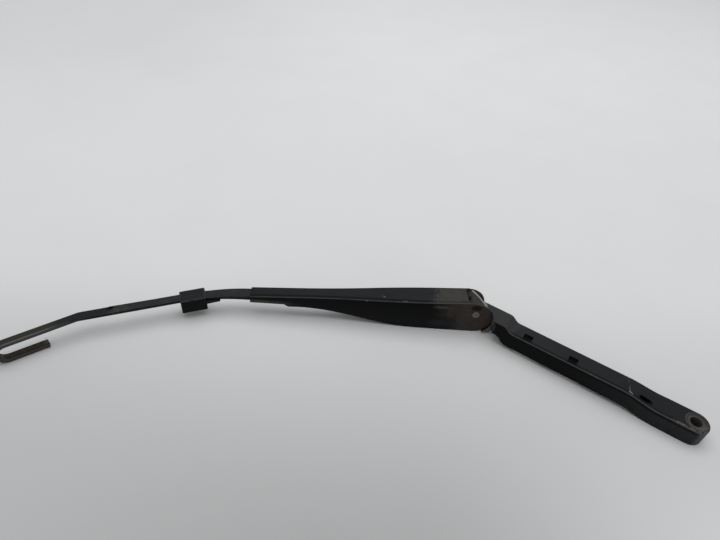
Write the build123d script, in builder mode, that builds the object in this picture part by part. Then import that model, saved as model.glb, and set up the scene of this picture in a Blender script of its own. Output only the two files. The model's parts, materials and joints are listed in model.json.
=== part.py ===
from build123d import *
from math import cos, hypot, pi, radians, sin
import os

os.makedirs("parts", exist_ok=True)

# Wiper arm in millimetres. The origin lies on the spindle bore axis, on the level the arm rests on.
# X runs along the channel towards the head, Y is away from the viewer, Z is up.

# Head layout: the beam is cranked in plan against the channel
crank = 33.5
reach = 199.0
hinge_height = 22.8
nose_radius = 10.8
beam_half = 9.3
end_gap = 0.6
flare_start = 20.0
flare_end = 60.0

# Head section along the beam: heights, and distances from the spindle bore
bore_end_top = 17.3
beam_top = 20.6
hinge_end_top = 26.2
beam_under = 3.8
hinge_end_under = 10.8
gentle_start = 27.0
gentle_end = 57.0
web = 2.6
wall = 2.4
edge_round = 1.8
boss_wall = 6.2
hollow_round = 2.0

# Distances along the beam back from the hinge axis
step_low = 44.0
step_high = 32.5
under_step_low = 40.5
under_step_high = 27.5
hollow_stop = 48.0
window_stop = 55.9

# Spindle bore: a taper from below that ends in a short round land at the top
land_radius = 4.8
land_length = 3.0
taper_radius = 6.4
seat_radius = 7.6
seat_depth = 0.5
taper_mouth = 0.8

# Openings in the head's top
window_long = 8.3
window_wide = 6.1
window_round = 0.6
window_offset = 3.0
window_mid = 101.5
slot_long = 11.2
slot_wide = 4.4
slot_at = 39.2
slot_offset = 5.0

# Hinge
pin_radius = 3.0
pin_clearance = 0.1
pin_head_lip = 0.7
pin_head = 1.0
pin_head_edge = 0.4
knuckle_radius = 11.7
side_clearance = 0.3

# Neck of the head at the hinge: X is measured from the hinge axis
neck_x = -2.0
crest_far_x = -2.0
crest_near_x = 10.0
heel_x = 9.0
heel_foot = 2.5
heel_thick = 4.6
heel_wide = 4.0

# Spring anchor on the head, measured from the hinge axis
anchor_back = 3.0
anchor_drop = 13.0
anchor_radius = 2.0
anchor_clearance = 0.1
lug_wall = 2.4
link_gap = 0.9
link_side = 0.6
slot_wall = 1.6

# Channel of folded sheet: X is measured from the hinge axis
sheet = 1.2
fold = 1.8
channel_end_x = -210.1
crimp_end_x = -178.6
top_end_x = -8.1
channel_top = 36.2
channel_half = 10.8
crimp_half = 6.8
flare_left_x = -164.1
flare_right_x = -34.1
shallow_under = 13.8
notch_under = 13.4
notch_x = -175.1
skirt_left_x = -164.1
skirt_right_x = -54.1
lobe_x = -1.1
lobe_far_x = -5.6
lobe_step = 1.2
end_cut_near_x = -8.4
end_cut_far_x = -9.6
lip_gap = 2.2
lip_level = 17.2

# Rod: a flat strip with a long sideways curve, a kink and a hook. X is measured from the hinge axis
rod_thick = 3.6
rod_side_clearance = 0.2
rod_half_mid = 4.2
rod_half_tip = 3.9
root_top = 22.4
root_drop_x = -178.1
root_low_x = -170.1
root_start_x = -246.1
spring_hole_x = -130.1
spring_hole_edge = 4.4
spring_hole_radius = 1.7
curve_start_x = -212.1
curve_angle = 20.3
curve_radius = 178.0
mid_run = 83.0
kink_angle = 36.6
kink_radius = 16.0
tip_run = 55.4
hook_leg = 29.9
leg_round = 2.4
pick_long = 5.6
pick_wide = 2.6
pick_back = 24.0
pick_aside = 1.9

# Clip moulded round the rod, placed back from the end of the rod's curve
clip_long = 22.8
clip_wide = 14.8
clip_below = 9.8
clip_above = 2.2
clip_round = 1.4
clip_edge = 0.9
clip_along = 11.9
clip_aside = 1.45
tail_long = 13.0
tail_wide = 10.0
tail_drop = 3.0
tail_tip = 0.6
tail_angle = 11.0

# Tension spring and its link
spring_radius = 4.05
wire = 0.95
wire_sides = 6
coils = 28
coil_sides = 8
link_long = 27.0
link_half = 2.0
link_thick = 4.0
link_eye_wall = 2.2
link_hole = 1.7
link_hole_wall = 1.9
hook_step = 7.0
hook_past = 2.8
hook_seat = 0.2

# Cuts run past the faces that they open, by a little or well clear
overrun = 1.0
beyond = 14.0
slanting = 45.0

# Derived places
hinge_x = -reach * cos(radians(crank))
hinge_y = reach * sin(radians(crank))
rod_top = lip_level + rod_thick
rod_inner_x = spring_hole_x + spring_hole_edge
rod_half_inner = crimp_half - sheet - rod_side_clearance
slope = (channel_top - sheet - root_top) / (top_end_x - channel_end_x)
root_drop_top = root_top + slope * (root_drop_x - channel_end_x)
hook_radius = rod_top / 2
anchor_x = -anchor_back
anchor_z = hinge_height - anchor_drop
lug_radius = anchor_radius + lug_wall
link_eye = anchor_radius + anchor_clearance
link_eye_outer = link_eye + link_eye_wall
link_hole_outer = link_hole + link_hole_wall
link_room = link_eye_outer + link_gap
link_slot = link_thick + 2 * link_side
slot_flank = pin_radius + pin_clearance + slot_wall
tongue_half = channel_half - sheet - side_clearance
lobe_top = channel_top - lobe_step
lobe_radius = lobe_top / 2
lobe_room = lobe_radius + end_gap
head_end = lobe_x + lobe_room
flare_mid_x = (flare_left_x + flare_right_x) / 2
flare_mid_half = (crimp_half + channel_half) / 2
tall = channel_top + beyond
hollow_start = nose_radius + boss_wall

# Planes: the beam's upright middle plane, its plan, and the channel's upright middle plane and plan
beam_dir = (-cos(radians(crank)), sin(radians(crank)), 0)
beam_side = Plane(origin=(0, 0, 0), x_dir=beam_dir, z_dir=(sin(radians(crank)), cos(radians(crank)), 0))
beam_plan = Plane(origin=(0, 0, 0), x_dir=beam_dir, z_dir=(0, 0, 1))
arm_side = Plane(origin=(hinge_x, hinge_y, 0), x_dir=(1, 0, 0), z_dir=(0, -1, 0))
arm_plan = Plane(origin=(hinge_x, hinge_y, 0), x_dir=(1, 0, 0), z_dir=(0, 0, 1))

level = (1, 0)
level_back = (-1, 0)
beam_far = reach + beyond
nose_far = nose_radius + overrun
steep_start = reach - step_low
steep_end = reach - step_high
under_steep_start = reach - under_step_low
under_steep_end = reach - under_step_high
hollow_end = reach - hollow_stop
near_end = (-hinge_x - neck_x - beam_half * sin(radians(crank))) / cos(radians(crank))
far_end = (-hinge_x - neck_x + beam_half * sin(radians(crank))) / cos(radians(crank))
flat_half = beam_half - edge_round
flat_far_x = (flat_half - tongue_half * cos(radians(crank))) / sin(radians(crank))
flat_far_y = (flat_half - head_end * sin(radians(crank))) / cos(radians(crank))

# Beam of the head, before it is hollowed
with BuildPart() as beam:
    with BuildSketch(beam_side):
        with BuildLine():
            Polyline((gentle_start, bore_end_top), (-nose_far, bore_end_top), (-nose_far, 0))
            Line((-nose_far, 0), (gentle_start, 0))
            Spline((gentle_start, 0), (gentle_end, beam_under), tangents=(level, level))
            Line((gentle_end, beam_under), (under_steep_start, beam_under))
            Spline(
                (under_steep_start, beam_under),
                (under_steep_end, hinge_end_under),
                tangents=(level, level),
            )
            Line((under_steep_end, hinge_end_under), (beam_far, hinge_end_under))
            Line((beam_far, hinge_end_under), (beam_far, hinge_end_top))
            Line((beam_far, hinge_end_top), (steep_end, hinge_end_top))
            Spline((steep_end, hinge_end_top), (steep_start, beam_top), tangents=(level_back, level_back))
            Line((steep_start, beam_top), (gentle_end, beam_top))
            Spline((gentle_end, beam_top), (gentle_start, bore_end_top), tangents=(level_back, level_back))
        make_face()
    extrude(amount=nose_radius + beyond, both=True)
    with BuildSketch(beam_plan):
        with BuildLine():
            Line((flare_start, nose_radius), (0, nose_radius))
            ThreePointArc((0, nose_radius), (-nose_radius, 0), (0, -nose_radius))
            Line((0, -nose_radius), (flare_start, -nose_radius))
            Spline((flare_start, -nose_radius), (flare_end, -beam_half), tangents=(level, level))
            Line((flare_end, -beam_half), (far_end, -beam_half))
            Line((far_end, -beam_half), (near_end, beam_half))
            Line((near_end, beam_half), (flare_end, beam_half))
            Spline((flare_end, beam_half), (flare_start, nose_radius), tangents=(level_back, level_back))
        make_face()
    extrude(amount=tall, mode=Mode.INTERSECT)
    upper = beam.edges().filter_by(lambda e: e.center().Z > bore_end_top - web)
    upper = upper.filter_by(lambda e: abs(e.tangent_at(0.5).Z) < sin(radians(slanting)))
    fillet(upper, edge_round)

# Hollow under the beam
with BuildPart() as hollow:
    with BuildSketch(beam_side):
        with BuildLine():
            Line((gentle_start, bore_end_top - web), (hollow_start, bore_end_top - web))
            Line((hollow_start, bore_end_top - web), (hollow_start, -beyond))
            Polyline((hollow_start, -beyond), (hollow_end, -beyond), (hollow_end, beam_top - web))
            Line((hollow_end, beam_top - web), (gentle_end, beam_top - web))
            Spline(
                (gentle_end, beam_top - web),
                (gentle_start, bore_end_top - web),
                tangents=(level_back, level_back),
            )
        make_face()
    extrude(amount=beam_half - wall, both=True)
    corners = hollow.edges().filter_by(Axis.Z)
    fillet(corners, hollow_round)

# Heel: a lip of the head that curves under the near hinge lobe
with BuildPart() as heel:
    with BuildSketch(arm_side.offset(tongue_half)):
        with Locations((lobe_x, lobe_radius)):
            Circle(lobe_room + heel_thick)
            Circle(lobe_room, mode=Mode.SUBTRACT)
        with BuildLine():
            Polyline(
                (lobe_x, lobe_radius),
                (heel_x, heel_foot),
                (head_end + beyond, heel_foot),
                (head_end + beyond, lobe_radius),
                close=True,
            )
        make_face(mode=Mode.INTERSECT)
    extrude(amount=heel_wide)

# Tongue between the channel's walls: knuckle, spring lugs and their root in the neck
with BuildPart() as tongue:
    with BuildSketch(arm_side):
        with Locations((0, hinge_height)):
            Circle(knuckle_radius)
        with Locations((anchor_x, anchor_z)):
            Circle(lug_radius)
        with BuildLine():
            Polyline(
                (0, hinge_end_top),
                (head_end, hinge_end_top),
                (head_end, hinge_end_under),
                (anchor_x, anchor_z - lug_radius),
                (anchor_x - lug_radius, anchor_z),
                (-knuckle_radius, hinge_height),
                close=True,
            )
        make_face()
    extrude(amount=tongue_half, both=True)
    with BuildSketch(arm_plan):
        with BuildLine():
            Polyline(
                (flat_far_x, tongue_half),
                (head_end, flat_far_y),
                (head_end + beyond, flat_far_y),
                (head_end + beyond, tongue_half + overrun),
                (flat_far_x, tongue_half + overrun),
                close=True,
            )
        make_face()
    extrude(amount=tall, mode=Mode.SUBTRACT)
    with BuildSketch(arm_plan.offset(hinge_end_top)):
        with BuildLine():
            Polyline(
                (crest_far_x, tongue_half),
                (crest_near_x, -tongue_half),
                (head_end + beyond, -tongue_half),
                (head_end + beyond, tongue_half),
                close=True,
            )
        make_face()
    extrude(amount=tall, mode=Mode.SUBTRACT)

# Head: hollowed beam, heel, tongue, bore and openings
with BuildPart() as arm_head:
    add(beam.part)
    add(hollow.part, mode=Mode.SUBTRACT)
    for wall_face in (tongue_half, -tongue_half - 2 * beyond):
        with BuildSketch(arm_side.offset(wall_face)):
            with Locations((lobe_x, lobe_radius)):
                Circle(lobe_room)
        extrude(amount=2 * beyond, mode=Mode.SUBTRACT)
    add(heel.part)
    add(tongue.part)
    with BuildSketch(arm_side):
        with Locations((anchor_x, anchor_z)):
            Circle(link_room)
        with BuildLine():
            Polyline(
                (anchor_x, anchor_z + link_room),
                (-slot_flank, hinge_height - slot_flank),
                (-slot_flank, tall),
                (-knuckle_radius - beyond, tall),
                (-knuckle_radius - beyond, -beyond),
                (anchor_x + link_room, -beyond),
                (anchor_x + link_room, anchor_z),
                close=True,
            )
        make_face()
    extrude(amount=link_slot / 2, both=True, mode=Mode.SUBTRACT)
    with BuildSketch(arm_side):
        with Locations((0, hinge_height)):
            Circle(pin_radius + pin_clearance)
        with Locations((anchor_x, anchor_z)):
            Circle(anchor_radius)
    extrude(amount=tongue_half + overrun, both=True, mode=Mode.SUBTRACT)
    with BuildSketch(Plane.XZ):
        with BuildLine():
            Polyline(
                (0, -overrun),
                (taper_radius + taper_mouth, -overrun),
                (taper_radius + taper_mouth, 0),
                (taper_radius, taper_mouth),
                (land_radius, bore_end_top - seat_depth - land_length),
                (land_radius, bore_end_top - seat_depth),
                (seat_radius, bore_end_top - seat_depth),
                (seat_radius, bore_end_top + overrun),
                (0, bore_end_top + overrun),
                close=True,
            )
        make_face()
    revolve(axis=Axis.Z, mode=Mode.SUBTRACT)
    with BuildSketch(beam_plan.offset(beam_top - 2 * web)):
        with Locations((reach - window_stop, window_offset), (window_mid, window_offset)):
            RectangleRounded(window_long, window_wide, window_round)
        with Locations((slot_at, slot_offset)):
            SlotOverall(slot_long, slot_wide)
    extrude(amount=beyond, mode=Mode.SUBTRACT)
arm_head.part.label = "arm_head"
export_step(arm_head.part, "parts/arm_head.step")

# Channel: outside of the folded sheet
with BuildPart() as channel_outside:
    with BuildSketch(arm_side):
        with BuildLine():
            Polyline(
                (crimp_end_x, lip_level - sheet),
                (channel_end_x, lip_level - sheet),
                (channel_end_x, root_top + sheet),
                (top_end_x, channel_top),
                (lobe_x, lobe_top),
            )
            ThreePointArc((lobe_x, lobe_top), (lobe_x + lobe_radius, lobe_radius), (lobe_x, 0))
            Line((lobe_x, 0), (skirt_right_x, 0))
            Spline(
                (skirt_right_x, 0),
                (skirt_left_x, shallow_under),
                tangents=(level_back, level_back),
            )
            Polyline((skirt_left_x, shallow_under), (notch_x, notch_under), (crimp_end_x, lip_level - sheet))
        make_face()
    extrude(amount=channel_half + beyond, both=True)
    with BuildSketch(arm_plan):
        with BuildLine():
            Line((channel_end_x, -crimp_half), (flare_left_x, -crimp_half))
            TangentArc((flare_left_x, -crimp_half), (flare_mid_x, -flare_mid_half), tangent=level)
            TangentArc((flare_right_x, -channel_half), (flare_mid_x, -flare_mid_half), tangent=level_back)
            Polyline(
                (flare_right_x, -channel_half),
                (lobe_top, -channel_half),
                (lobe_top, channel_half),
                (flare_right_x, channel_half),
            )
            TangentArc((flare_right_x, channel_half), (flare_mid_x, flare_mid_half), tangent=level_back)
            TangentArc((flare_left_x, crimp_half), (flare_mid_x, flare_mid_half), tangent=level)
            Line((flare_left_x, crimp_half), (channel_end_x, crimp_half))
            Line((channel_end_x, crimp_half), (channel_end_x, -crimp_half))
        make_face()
    extrude(amount=tall, mode=Mode.INTERSECT)
    ridges = channel_outside.edges().filter_by(lambda e: e.center().Z > rod_top)
    ridges = ridges.filter_by(lambda e: e.length > 2 * channel_half + overrun)
    ridges = ridges.filter_by(lambda e: abs(e.tangent_at(0.5).X) > cos(radians(slanting)))
    fillet(ridges, fold)

# Channel: room inside the folded sheet
with BuildPart() as channel_inside:
    with BuildSketch(arm_side):
        with BuildLine():
            Polyline(
                (channel_end_x - overrun, lip_level),
                (channel_end_x - overrun, root_top - slope * overrun),
                (top_end_x, channel_top - sheet),
                (lobe_top, channel_top - sheet),
                (lobe_top, -beyond),
                (crimp_end_x, -beyond),
                (crimp_end_x, lip_level),
                close=True,
            )
        make_face()
    extrude(amount=channel_half + beyond, both=True)
    with BuildSketch(arm_plan.offset(-beyond)):
        with BuildLine():
            Line((channel_end_x - overrun, sheet - crimp_half), (flare_left_x, sheet - crimp_half))
            TangentArc((flare_left_x, sheet - crimp_half), (flare_mid_x, sheet - flare_mid_half), tangent=level)
            TangentArc(
                (flare_right_x, sheet - channel_half),
                (flare_mid_x, sheet - flare_mid_half),
                tangent=level_back,
            )
            Polyline(
                (flare_right_x, sheet - channel_half),
                (lobe_top, sheet - channel_half),
                (lobe_top, channel_half - sheet),
                (flare_right_x, channel_half - sheet),
            )
            TangentArc(
                (flare_right_x, channel_half - sheet),
                (flare_mid_x, flare_mid_half - sheet),
                tangent=level_back,
            )
            TangentArc((flare_left_x, crimp_half - sheet), (flare_mid_x, flare_mid_half - sheet), tangent=level)
            Line((flare_left_x, crimp_half - sheet), (channel_end_x - overrun, crimp_half - sheet))
            Line((channel_end_x - overrun, crimp_half - sheet), (channel_end_x - overrun, sheet - crimp_half))
        make_face()
    extrude(amount=tall + beyond, mode=Mode.INTERSECT)

# Retainer: channel with rounded hinge lobes, an oblique end of its top and crimped lips
with BuildPart() as retainer:
    add(channel_outside.part)
    add(channel_inside.part, mode=Mode.SUBTRACT)
    with BuildSketch(arm_plan.offset(hinge_height)):
        with BuildLine():
            Polyline(
                (end_cut_near_x, sheet - channel_half),
                (lobe_top, sheet - channel_half),
                (lobe_top, channel_half - sheet),
                (end_cut_far_x, channel_half - sheet),
                close=True,
            )
        make_face()
    extrude(amount=tall, mode=Mode.SUBTRACT)
    with BuildSketch(arm_plan.offset(-beyond)):
        with Locations(((channel_end_x + crimp_end_x) / 2, 0)):
            Rectangle(crimp_end_x - channel_end_x + 2 * overrun, 2 * lip_gap)
    extrude(amount=beyond + lip_level, mode=Mode.SUBTRACT)
    with BuildSketch(arm_side.offset(2 * sheet - channel_half)):
        with Locations((lobe_far_x + lobe_radius, lobe_radius)):
            Rectangle(2 * lobe_radius, tall)
        with Locations((lobe_far_x, lobe_radius)):
            Circle(lobe_radius, mode=Mode.SUBTRACT)
    extrude(amount=-beyond, mode=Mode.SUBTRACT)
    with BuildSketch(arm_side):
        with Locations((0, hinge_height)):
            Circle(pin_radius)
    extrude(amount=channel_half + overrun, both=True, mode=Mode.SUBTRACT)
retainer.part.label = "retainer"
export_step(retainer.part, "parts/retainer.step")

# Hinge pin, riveted in the channel's walls
with BuildPart() as hinge_pin:
    with BuildSketch(arm_side):
        with Locations((0, hinge_height)):
            Circle(pin_radius)
    extrude(amount=channel_half, both=True)
    for end_face in (-channel_half, channel_half + pin_head):
        with BuildSketch(arm_side.offset(end_face)):
            with Locations((0, hinge_height)):
                Circle(pin_radius + pin_head_lip)
        extrude(amount=-pin_head)
    rims = hinge_pin.edges().filter_by(GeomType.CIRCLE).group_by(Axis.Y)
    chamfer(rims[0] + rims[-1], pin_head_edge)
hinge_pin.part.label = "hinge_pin"
export_step(hinge_pin.part, "parts/hinge_pin.step")

# Anchor pin for the spring, pressed into the head's lugs
with BuildPart() as anchor_pin:
    with BuildSketch(arm_side):
        with Locations((anchor_x, anchor_z)):
            Circle(anchor_radius)
    extrude(amount=tongue_half, both=True)
anchor_pin.part.label = "anchor_pin"
export_step(anchor_pin.part, "parts/anchor_pin.step")

# Course of the rod in plan: straight, a long curve, straight, a kink, straight to the hook
curve = radians(curve_angle)
kink = radians(kink_angle)
curve_end_x = curve_start_x - curve_radius * sin(curve)
curve_end_y = -curve_radius * (1 - cos(curve))
kink_start_x = curve_end_x - mid_run * cos(curve)
kink_start_y = curve_end_y - mid_run * sin(curve)
kink_end_x = kink_start_x - kink_radius * (sin(kink) - sin(curve))
kink_end_y = kink_start_y - kink_radius * (cos(curve) - cos(kink))
bend_x = kink_end_x - tip_run * cos(kink)
bend_y = kink_end_y - tip_run * sin(kink)
ahead_mid = (-cos(curve), -sin(curve))
ahead_tip = (-cos(kink), -sin(kink))
back_mid = (cos(curve), sin(curve))
back_tip = (cos(kink), sin(kink))

far_curve = (curve_end_x - rod_half_mid * sin(curve), curve_end_y + rod_half_mid * cos(curve))
near_curve = (curve_end_x + rod_half_mid * sin(curve), curve_end_y - rod_half_mid * cos(curve))
far_kink = (kink_start_x - rod_half_mid * sin(curve), kink_start_y + rod_half_mid * cos(curve))
near_kink = (kink_start_x + rod_half_mid * sin(curve), kink_start_y - rod_half_mid * cos(curve))
far_tip = (kink_end_x - rod_half_tip * sin(kink), kink_end_y + rod_half_tip * cos(kink))
near_tip = (kink_end_x + rod_half_tip * sin(kink), kink_end_y - rod_half_tip * cos(kink))
far_bend = (bend_x - rod_half_tip * sin(kink), bend_y + rod_half_tip * cos(kink))
near_bend = (bend_x + rod_half_tip * sin(kink), bend_y - rod_half_tip * cos(kink))

hook_side = Plane(
    origin=(hinge_x + bend_x, hinge_y + bend_y, 0),
    x_dir=(-cos(kink), -sin(kink), 0),
    z_dir=(-sin(kink), cos(kink), 0),
)
pick_spot = Plane(
    origin=(
        hinge_x + kink_start_x + pick_back * cos(curve) - pick_aside * sin(curve),
        hinge_y + kink_start_y + pick_back * sin(curve) + pick_aside * cos(curve),
        lip_level - overrun,
    ),
    x_dir=(cos(curve), sin(curve), 0),
    z_dir=(0, 0, 1),
)

# Rod with its hook; its root in the channel is a wedge under the sloping top
with BuildPart() as wiper_rod:
    with BuildSketch(arm_side):
        with BuildLine():
            Polyline(
                (rod_inner_x, lip_level),
                (bend_x - beyond, lip_level),
                (bend_x - beyond, rod_top),
                (root_start_x, rod_top),
                (channel_end_x, root_top),
                (root_drop_x, root_drop_top),
                (root_low_x, rod_top),
                (rod_inner_x, rod_top),
                close=True,
            )
        make_face()
    extrude(amount=reach, both=True)
    with BuildSketch(arm_plan):
        with BuildLine():
            Line((rod_inner_x, rod_half_inner), (curve_start_x, rod_half_inner))
            Spline((curve_start_x, rod_half_inner), far_curve, tangents=(level_back, ahead_mid))
            Line(far_curve, far_kink)
            Spline(far_kink, far_tip, tangents=(ahead_mid, ahead_tip))
            Polyline(far_tip, far_bend, near_bend, near_tip)
            Spline(near_tip, near_kink, tangents=(back_tip, back_mid))
            Line(near_kink, near_curve)
            Spline(near_curve, (curve_start_x, -rod_half_inner), tangents=(back_mid, level))
            Line((curve_start_x, -rod_half_inner), (rod_inner_x, -rod_half_inner))
            Line((rod_inner_x, -rod_half_inner), (rod_inner_x, rod_half_inner))
        make_face()
    extrude(amount=tall, mode=Mode.INTERSECT)
    with BuildSketch(hook_side):
        with BuildLine():
            ThreePointArc((0, rod_top), (hook_radius, hook_radius), (0, 0))
            Polyline((0, 0), (-hook_leg, 0), (-hook_leg, rod_thick), (0, rod_thick))
            ThreePointArc((0, rod_thick), (hook_radius - rod_thick, hook_radius), (0, lip_level))
            Line((0, lip_level), (0, rod_top))
        make_face()
    extrude(amount=rod_half_tip, both=True)
    leg_ends = wiper_rod.edges().filter_by(Axis.Z).filter_by(lambda e: e.center().Z < hook_radius)
    fillet(leg_ends, leg_round)
    inner_ends = wiper_rod.edges().filter_by(Axis.Z)
    inner_ends = inner_ends.filter_by(lambda e: e.center().X > hinge_x + rod_inner_x - overrun)
    fillet(inner_ends, leg_round)
    with BuildSketch(arm_plan.offset(lip_level - overrun)):
        with Locations((spring_hole_x, 0)):
            Circle(spring_hole_radius)
    extrude(amount=rod_thick + 2 * overrun, mode=Mode.SUBTRACT)
    with BuildSketch(pick_spot):
        SlotOverall(pick_long, pick_wide)
    extrude(amount=rod_thick + 2 * overrun, mode=Mode.SUBTRACT)
wiper_rod.part.label = "wiper_rod"
export_step(wiper_rod.part, "parts/wiper_rod.step")

# Clip moulded round the rod, with a short tail under the rod
clip_place = (
    hinge_x + curve_end_x + clip_along * cos(curve) + clip_aside * sin(curve),
    hinge_y + curve_end_y + clip_along * sin(curve) - clip_aside * cos(curve),
    lip_level,
)
clip_plan = Plane(origin=clip_place, x_dir=(cos(curve), sin(curve), 0), z_dir=(0, 0, 1))
tail = radians(tail_angle)
tail_side = Plane(origin=clip_place, x_dir=(cos(tail), sin(tail), 0), z_dir=(sin(tail), -cos(tail), 0))
tail_end = clip_long / 2 + tail_long
with BuildPart() as rod_clip:
    with BuildSketch(clip_plan.offset(-clip_below)):
        Rectangle(clip_long, clip_wide)
    extrude(amount=clip_below + rod_thick + clip_above)
    fillet(rod_clip.edges().filter_by(Axis.Z), clip_round)
    chamfer(rod_clip.faces().filter_by(Axis.Z).edges(), clip_edge)
    with BuildSketch(tail_side):
        with BuildLine():
            Polyline(
                (0, 0),
                (0, -tail_drop),
                (clip_long / 2, -tail_drop),
                (tail_end, -tail_tip),
                (tail_end, 0),
                close=True,
            )
        make_face()
    extrude(amount=tail_wide / 2, both=True)
    add(wiper_rod.part, mode=Mode.SUBTRACT)
rod_clip.part.label = "rod_clip"
export_step(rod_clip.part, "parts/rod_clip.step")

# Spring link on the anchor pin
span_x = anchor_x - spring_hole_x
span_z = lip_level + rod_thick / 2 - anchor_z
span = hypot(span_x, span_z)
pull_side = Plane(
    origin=(hinge_x + anchor_x, hinge_y, anchor_z),
    x_dir=(-span_x / span, 0, span_z / span),
    z_dir=(0, 1, 0),
)
with BuildPart() as spring_link:
    with BuildSketch(pull_side):
        Circle(link_eye_outer)
        with Locations((link_long, 0)):
            Circle(link_hole_outer)
        with Locations((link_long / 2, 0)):
            Rectangle(link_long, 2 * link_half)
        Circle(link_eye, mode=Mode.SUBTRACT)
        with Locations((link_long, 0)):
            Circle(link_hole, mode=Mode.SUBTRACT)
    extrude(amount=link_thick / 2, both=True)
spring_link.part.label = "spring_link"
export_step(spring_link.part, "parts/spring_link.step")

# Tension spring with a hook at each end
coil_start = link_long + hook_step
coil_span = span - link_long - 2 * hook_step
corners_in_coil = int(coils * coil_sides + coil_sides / 4)
turn = 2 * pi / coil_sides
link_bear = link_long + link_hole - wire - hook_seat
rod_bear = span - spring_hole_radius + wire + hook_seat
wire_path = [(link_bear, 0, -hook_past), (link_bear, 0, spring_radius)]
for step in range(corners_in_coil + 1):
    along = coil_start + coil_span * step / corners_in_coil
    wire_path.append((along, spring_radius * sin(turn * step), spring_radius * cos(turn * step)))
wire_path.append((rod_bear, spring_radius, 0))
wire_path.append((rod_bear, -hook_past, 0))
with BuildPart() as tension_spring:
    with BuildLine(pull_side) as course:
        Polyline(*wire_path)
    with BuildSketch(Plane(course.line @ 0, z_dir=course.line % 0)):
        RegularPolygon(wire, wire_sides)
    sweep(path=course.line, transition=Transition.RIGHT)
tension_spring.part.label = "tension_spring"
export_step(tension_spring.part, "parts/tension_spring.step")
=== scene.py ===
import json
from math import cos, pi, sin

import bpy
from bpy.props import FloatProperty, FloatVectorProperty, IntProperty, PointerProperty
from mathutils import Matrix, Vector


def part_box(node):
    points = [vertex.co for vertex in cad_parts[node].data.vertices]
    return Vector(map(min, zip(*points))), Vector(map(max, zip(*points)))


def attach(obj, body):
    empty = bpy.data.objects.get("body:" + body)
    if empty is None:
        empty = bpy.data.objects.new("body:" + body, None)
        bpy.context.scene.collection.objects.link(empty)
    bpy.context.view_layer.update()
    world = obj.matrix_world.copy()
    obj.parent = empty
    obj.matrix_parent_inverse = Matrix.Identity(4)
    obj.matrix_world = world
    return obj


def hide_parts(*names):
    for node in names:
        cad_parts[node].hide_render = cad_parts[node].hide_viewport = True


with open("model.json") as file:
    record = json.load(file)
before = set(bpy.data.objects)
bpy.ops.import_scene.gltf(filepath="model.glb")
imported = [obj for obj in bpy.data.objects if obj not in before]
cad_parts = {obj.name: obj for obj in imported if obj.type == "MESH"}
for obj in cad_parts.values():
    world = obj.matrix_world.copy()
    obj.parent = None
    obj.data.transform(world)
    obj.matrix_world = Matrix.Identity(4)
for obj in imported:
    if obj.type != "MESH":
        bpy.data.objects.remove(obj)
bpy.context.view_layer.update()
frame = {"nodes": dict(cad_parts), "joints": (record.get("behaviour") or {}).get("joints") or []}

bl_info = {
    "name": "Wiper Arm",
    "version": (1, 0, 0),
    "blender": (4, 5, 0),
    "location": "View3D > Sidebar > Wiper Arm",
    "description": "Dresses a cranked wiper arm with its worn paint, spring and studio",
    "category": "Object",
}

MM = 0.001


def joint_place(name):
    """A point on a joint's axis, in metres."""
    return Vector(next(joint["pos_m"] for joint in frame["joints"] if joint["name"] == name))


HINGE = joint_place("arm_hinge")
ANCHOR = joint_place("link_turn")
BORE = Vector((0.0, 0.0, 0.0))

# Directions: along the head from the hinge to the bore, out of its near wall, and over the knuckle's crest
ALONG_BEAM = Vector((BORE.x - HINGE.x, BORE.y - HINGE.y, 0.0)).normalized()
NEAR_SIDE = Vector((ALONG_BEAM.y, -ALONG_BEAM.x, 0.0))
ACROSS_CREST = Vector((0.8403, 0.5421, 0.0))

# Weights that measure a distance from an upright axis, or from one that lies across the channel
ROUND_BORE = (1, 1, 0)
ROUND_PIN = (1, 0, 1)

# The head, in metres; places along it are counted from the hinge
HEAD_TOP = 0.0206
NOSE_FALL = 0.0036
BEAM_HALF_WIDTH = 0.0093
NOSE_WIDENING = 0.0015
WINDOWS = (0.0559, 0.0975)
WINDOW_HALF_LENGTH = 0.0040
LOBE_MIDDLE = (HINGE.x - 0.0011, 0.0, 0.0175)

# The channel's half width at its crimp, and how much it gains towards the hinge
CRIMP_HALF_WIDTH = 0.0068
CHANNEL_FLARE = 0.0040

# Painted shade beside the slot, scratches and chips, each from one point to another with its width
SLOT_SHADE = ((-0.0383, 0.0193, 0.0190), (-0.0326, 0.0156, 0.0180), 0.0042)
HEAD_SCRATCHES = (
    ((-0.0434, 0.0386, 0.0205), (-0.0447, 0.0302, 0.0206), 0.00030),
    ((-0.0447, 0.0302, 0.0206), (-0.0473, 0.0230, 0.0206), 0.00035),
    ((-0.0476, 0.0240, 0.0206), (-0.0454, 0.0212, 0.0203), 0.0008),
    ((-0.0465, 0.0262, 0.0206), (-0.0460, 0.0222, 0.0204), 0.0005),
)
RIDGE_NICK = ((-0.0762, 0.0400, 0.0202), (-0.0700, 0.0357, 0.0199), 0.0009)
CHANNEL_CHIPS = (
    ((-0.2532, 0.1069, 0.0313), (-0.2514, 0.1060, 0.0313), 0.0009),
    ((-0.2345, 0.1006, 0.0325), (-0.2308, 0.1006, 0.0325), 0.0008),
    ((-0.2684, 0.1013, 0.0291), (-0.2668, 0.1013, 0.0291), 0.0008),
)

# The spring: the rod's hole from the spring's end and above the anchor pin, and where the wire bears in it
ROD_HOLE_INSET = 2.65 * MM
ROD_HOLE_RISE = 9.2 * MM
HOOK_BEAR = 0.55 * MM

# The bend between each hook and the coil, in length and as a share of the coil's radius
HOOK_NECK = 0.6 * MM
NECK_SHARE = 0.75
CORNERS_PER_TURN = 16

# The camera's own right and up
CAMERA_RIGHT = Vector((0.99757, 0.02418, 0.06529))
CAMERA_UP = Vector((-0.0649, 0.66253, 0.74622))

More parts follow.
